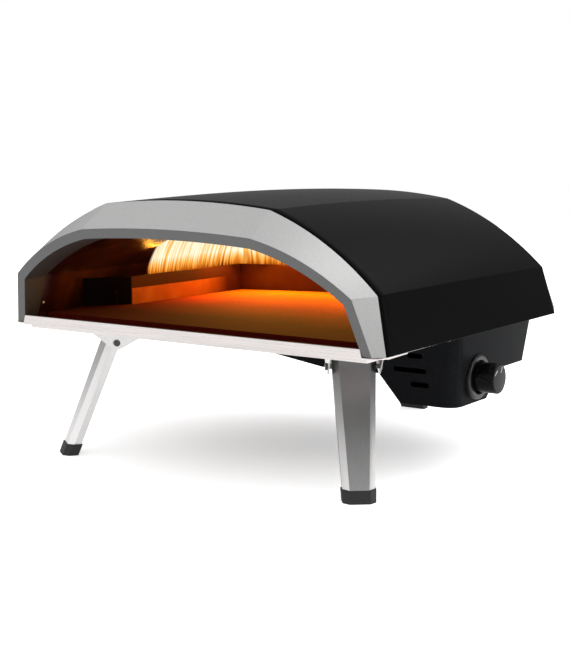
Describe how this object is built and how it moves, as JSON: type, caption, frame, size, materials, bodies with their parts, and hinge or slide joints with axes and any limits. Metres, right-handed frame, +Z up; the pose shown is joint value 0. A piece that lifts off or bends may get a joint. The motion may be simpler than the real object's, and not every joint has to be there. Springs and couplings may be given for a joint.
{
  "type": "portable pizza oven",
  "caption": "Portable gas pizza oven with a low arched mouth, curved insulated shell, baking stone, side burner housing with a push-turn knob, and folding legs.",
  "frame": {"origin": "middle of the footprint, on the surface that the open legs stand on", "axes": "+Z up, -Y out of the mouth towards the user, +X to the right seen from the front, where the knob is"},
  "size_m": [0.583, 0.6404, 0.358],
  "materials": {
    "bezel_silver": "silver-grey satin coat with a dark grey front band",
    "black_coat": "black powder coat, satin",
    "stainless": "brushed stainless steel",
    "heated_steel": "steel browned by heat",
    "stone": "sand-coloured cordierite, matt",
    "wool": "white ceramic wool",
    "knob_plastic": "gloss black plastic",
    "brass": "turned brass and copper-coloured tube",
    "rubber": "black rubber",
    "white_ceramic": "white glazed ceramic"
  },
  "bodies": {
    "oven": {"outer_shell": "black_coat", "front_bezel": "bezel_silver", "oven_liner": "heated_steel", "insulation_blanket": "wool", "base_tray": "stainless", "stone_rail_front": "stainless", "stone_rail_rear": "stainless", "burner_guard": "heated_steel", "burner_tube": "heated_steel", "burner_bracket_left": "stainless", "burner_bracket_corner": "stainless", "burner_bracket_rear": "stainless", "burner_housing": "black_coat", "knob_ring": "black_coat", "gas_valve_body": "brass", "valve_bracket": "stainless", "piezo_spark_unit": "knob_plastic", "gas_inlet_fitting": "brass", "inlet_nut": "brass", "gas_supply_pipe": "brass", "gas_injector": "brass", "burner_feed_pipe": "brass", "igniter_ceramic": "white_ceramic", "igniter_rod": "stainless", "igniter_lead": "rubber", "flame_sensor": "stainless", "sensor_lead": "stainless", "left_leg_bracket": "stainless", "left_pivot_pin": "stainless", "left_bracket_screw_1": "stainless", "left_bracket_screw_2": "stainless", "right_leg_bracket": "stainless", "right_pivot_pin": "stainless", "right_bracket_screw_1": "stainless", "right_bracket_screw_2": "stainless", "rear_leg_bracket": "stainless", "rear_pivot_pin": "stainless", "rear_bracket_screw_1": "stainless", "rear_bracket_screw_2": "stainless", "housing_screw_1": "stainless", "housing_screw_2": "stainless", "housing_screw_3": "stainless", "housing_screw_4": "stainless"},
    "left_leg_body": {"left_leg": "stainless", "left_foot": "rubber"},
    "right_leg_body": {"right_leg": "stainless", "right_foot": "rubber"},
    "rear_leg_body": {"rear_leg": "stainless", "rear_foot": "rubber"},
    "plunger": {"valve_plunger": "stainless"},
    "knob": {"control_knob": "knob_plastic", "valve_stem": "stainless"},
    "stone": {"baking_stone": "stone"}
  },
  "joints": [
    {"name": "left_leg_fold", "type": "hinge", "parent": "oven", "child": "left_leg_body", "pos_m": [-0.1935, -0.19018, 0.1543], "axis": [0.7859, -0.6184, 0], "range_deg": [0, 109]},
    {"name": "right_leg_fold", "type": "hinge", "parent": "oven", "child": "right_leg_body", "pos_m": [0.1935, -0.19018, 0.1543], "axis": [0.7859, 0.6184, 0], "range_deg": [0, 109]},
    {"name": "rear_leg_fold", "type": "hinge", "parent": "oven", "child": "rear_leg_body", "pos_m": [0.008, 0.24752, 0.1], "axis": [-1, 0, 0], "range_deg": [0, 118]},
    {"name": "knob_push", "type": "slide", "parent": "oven", "child": "plunger", "axis": [-1, 0, 0], "range_m": [0, 0.003], "stiffness_N_per_m": 600},
    {"name": "knob_turn", "type": "hinge", "parent": "plunger", "child": "knob", "pos_m": [0.27, 0.02053, 0.1165], "axis": [1, 0, 0], "range_deg": [0, 180]},
    {"name": "stone_lift", "type": "slide", "parent": "oven", "child": "stone", "axis": [0, 0, 1], "range_m": [0, 0.018]}
  ]
}
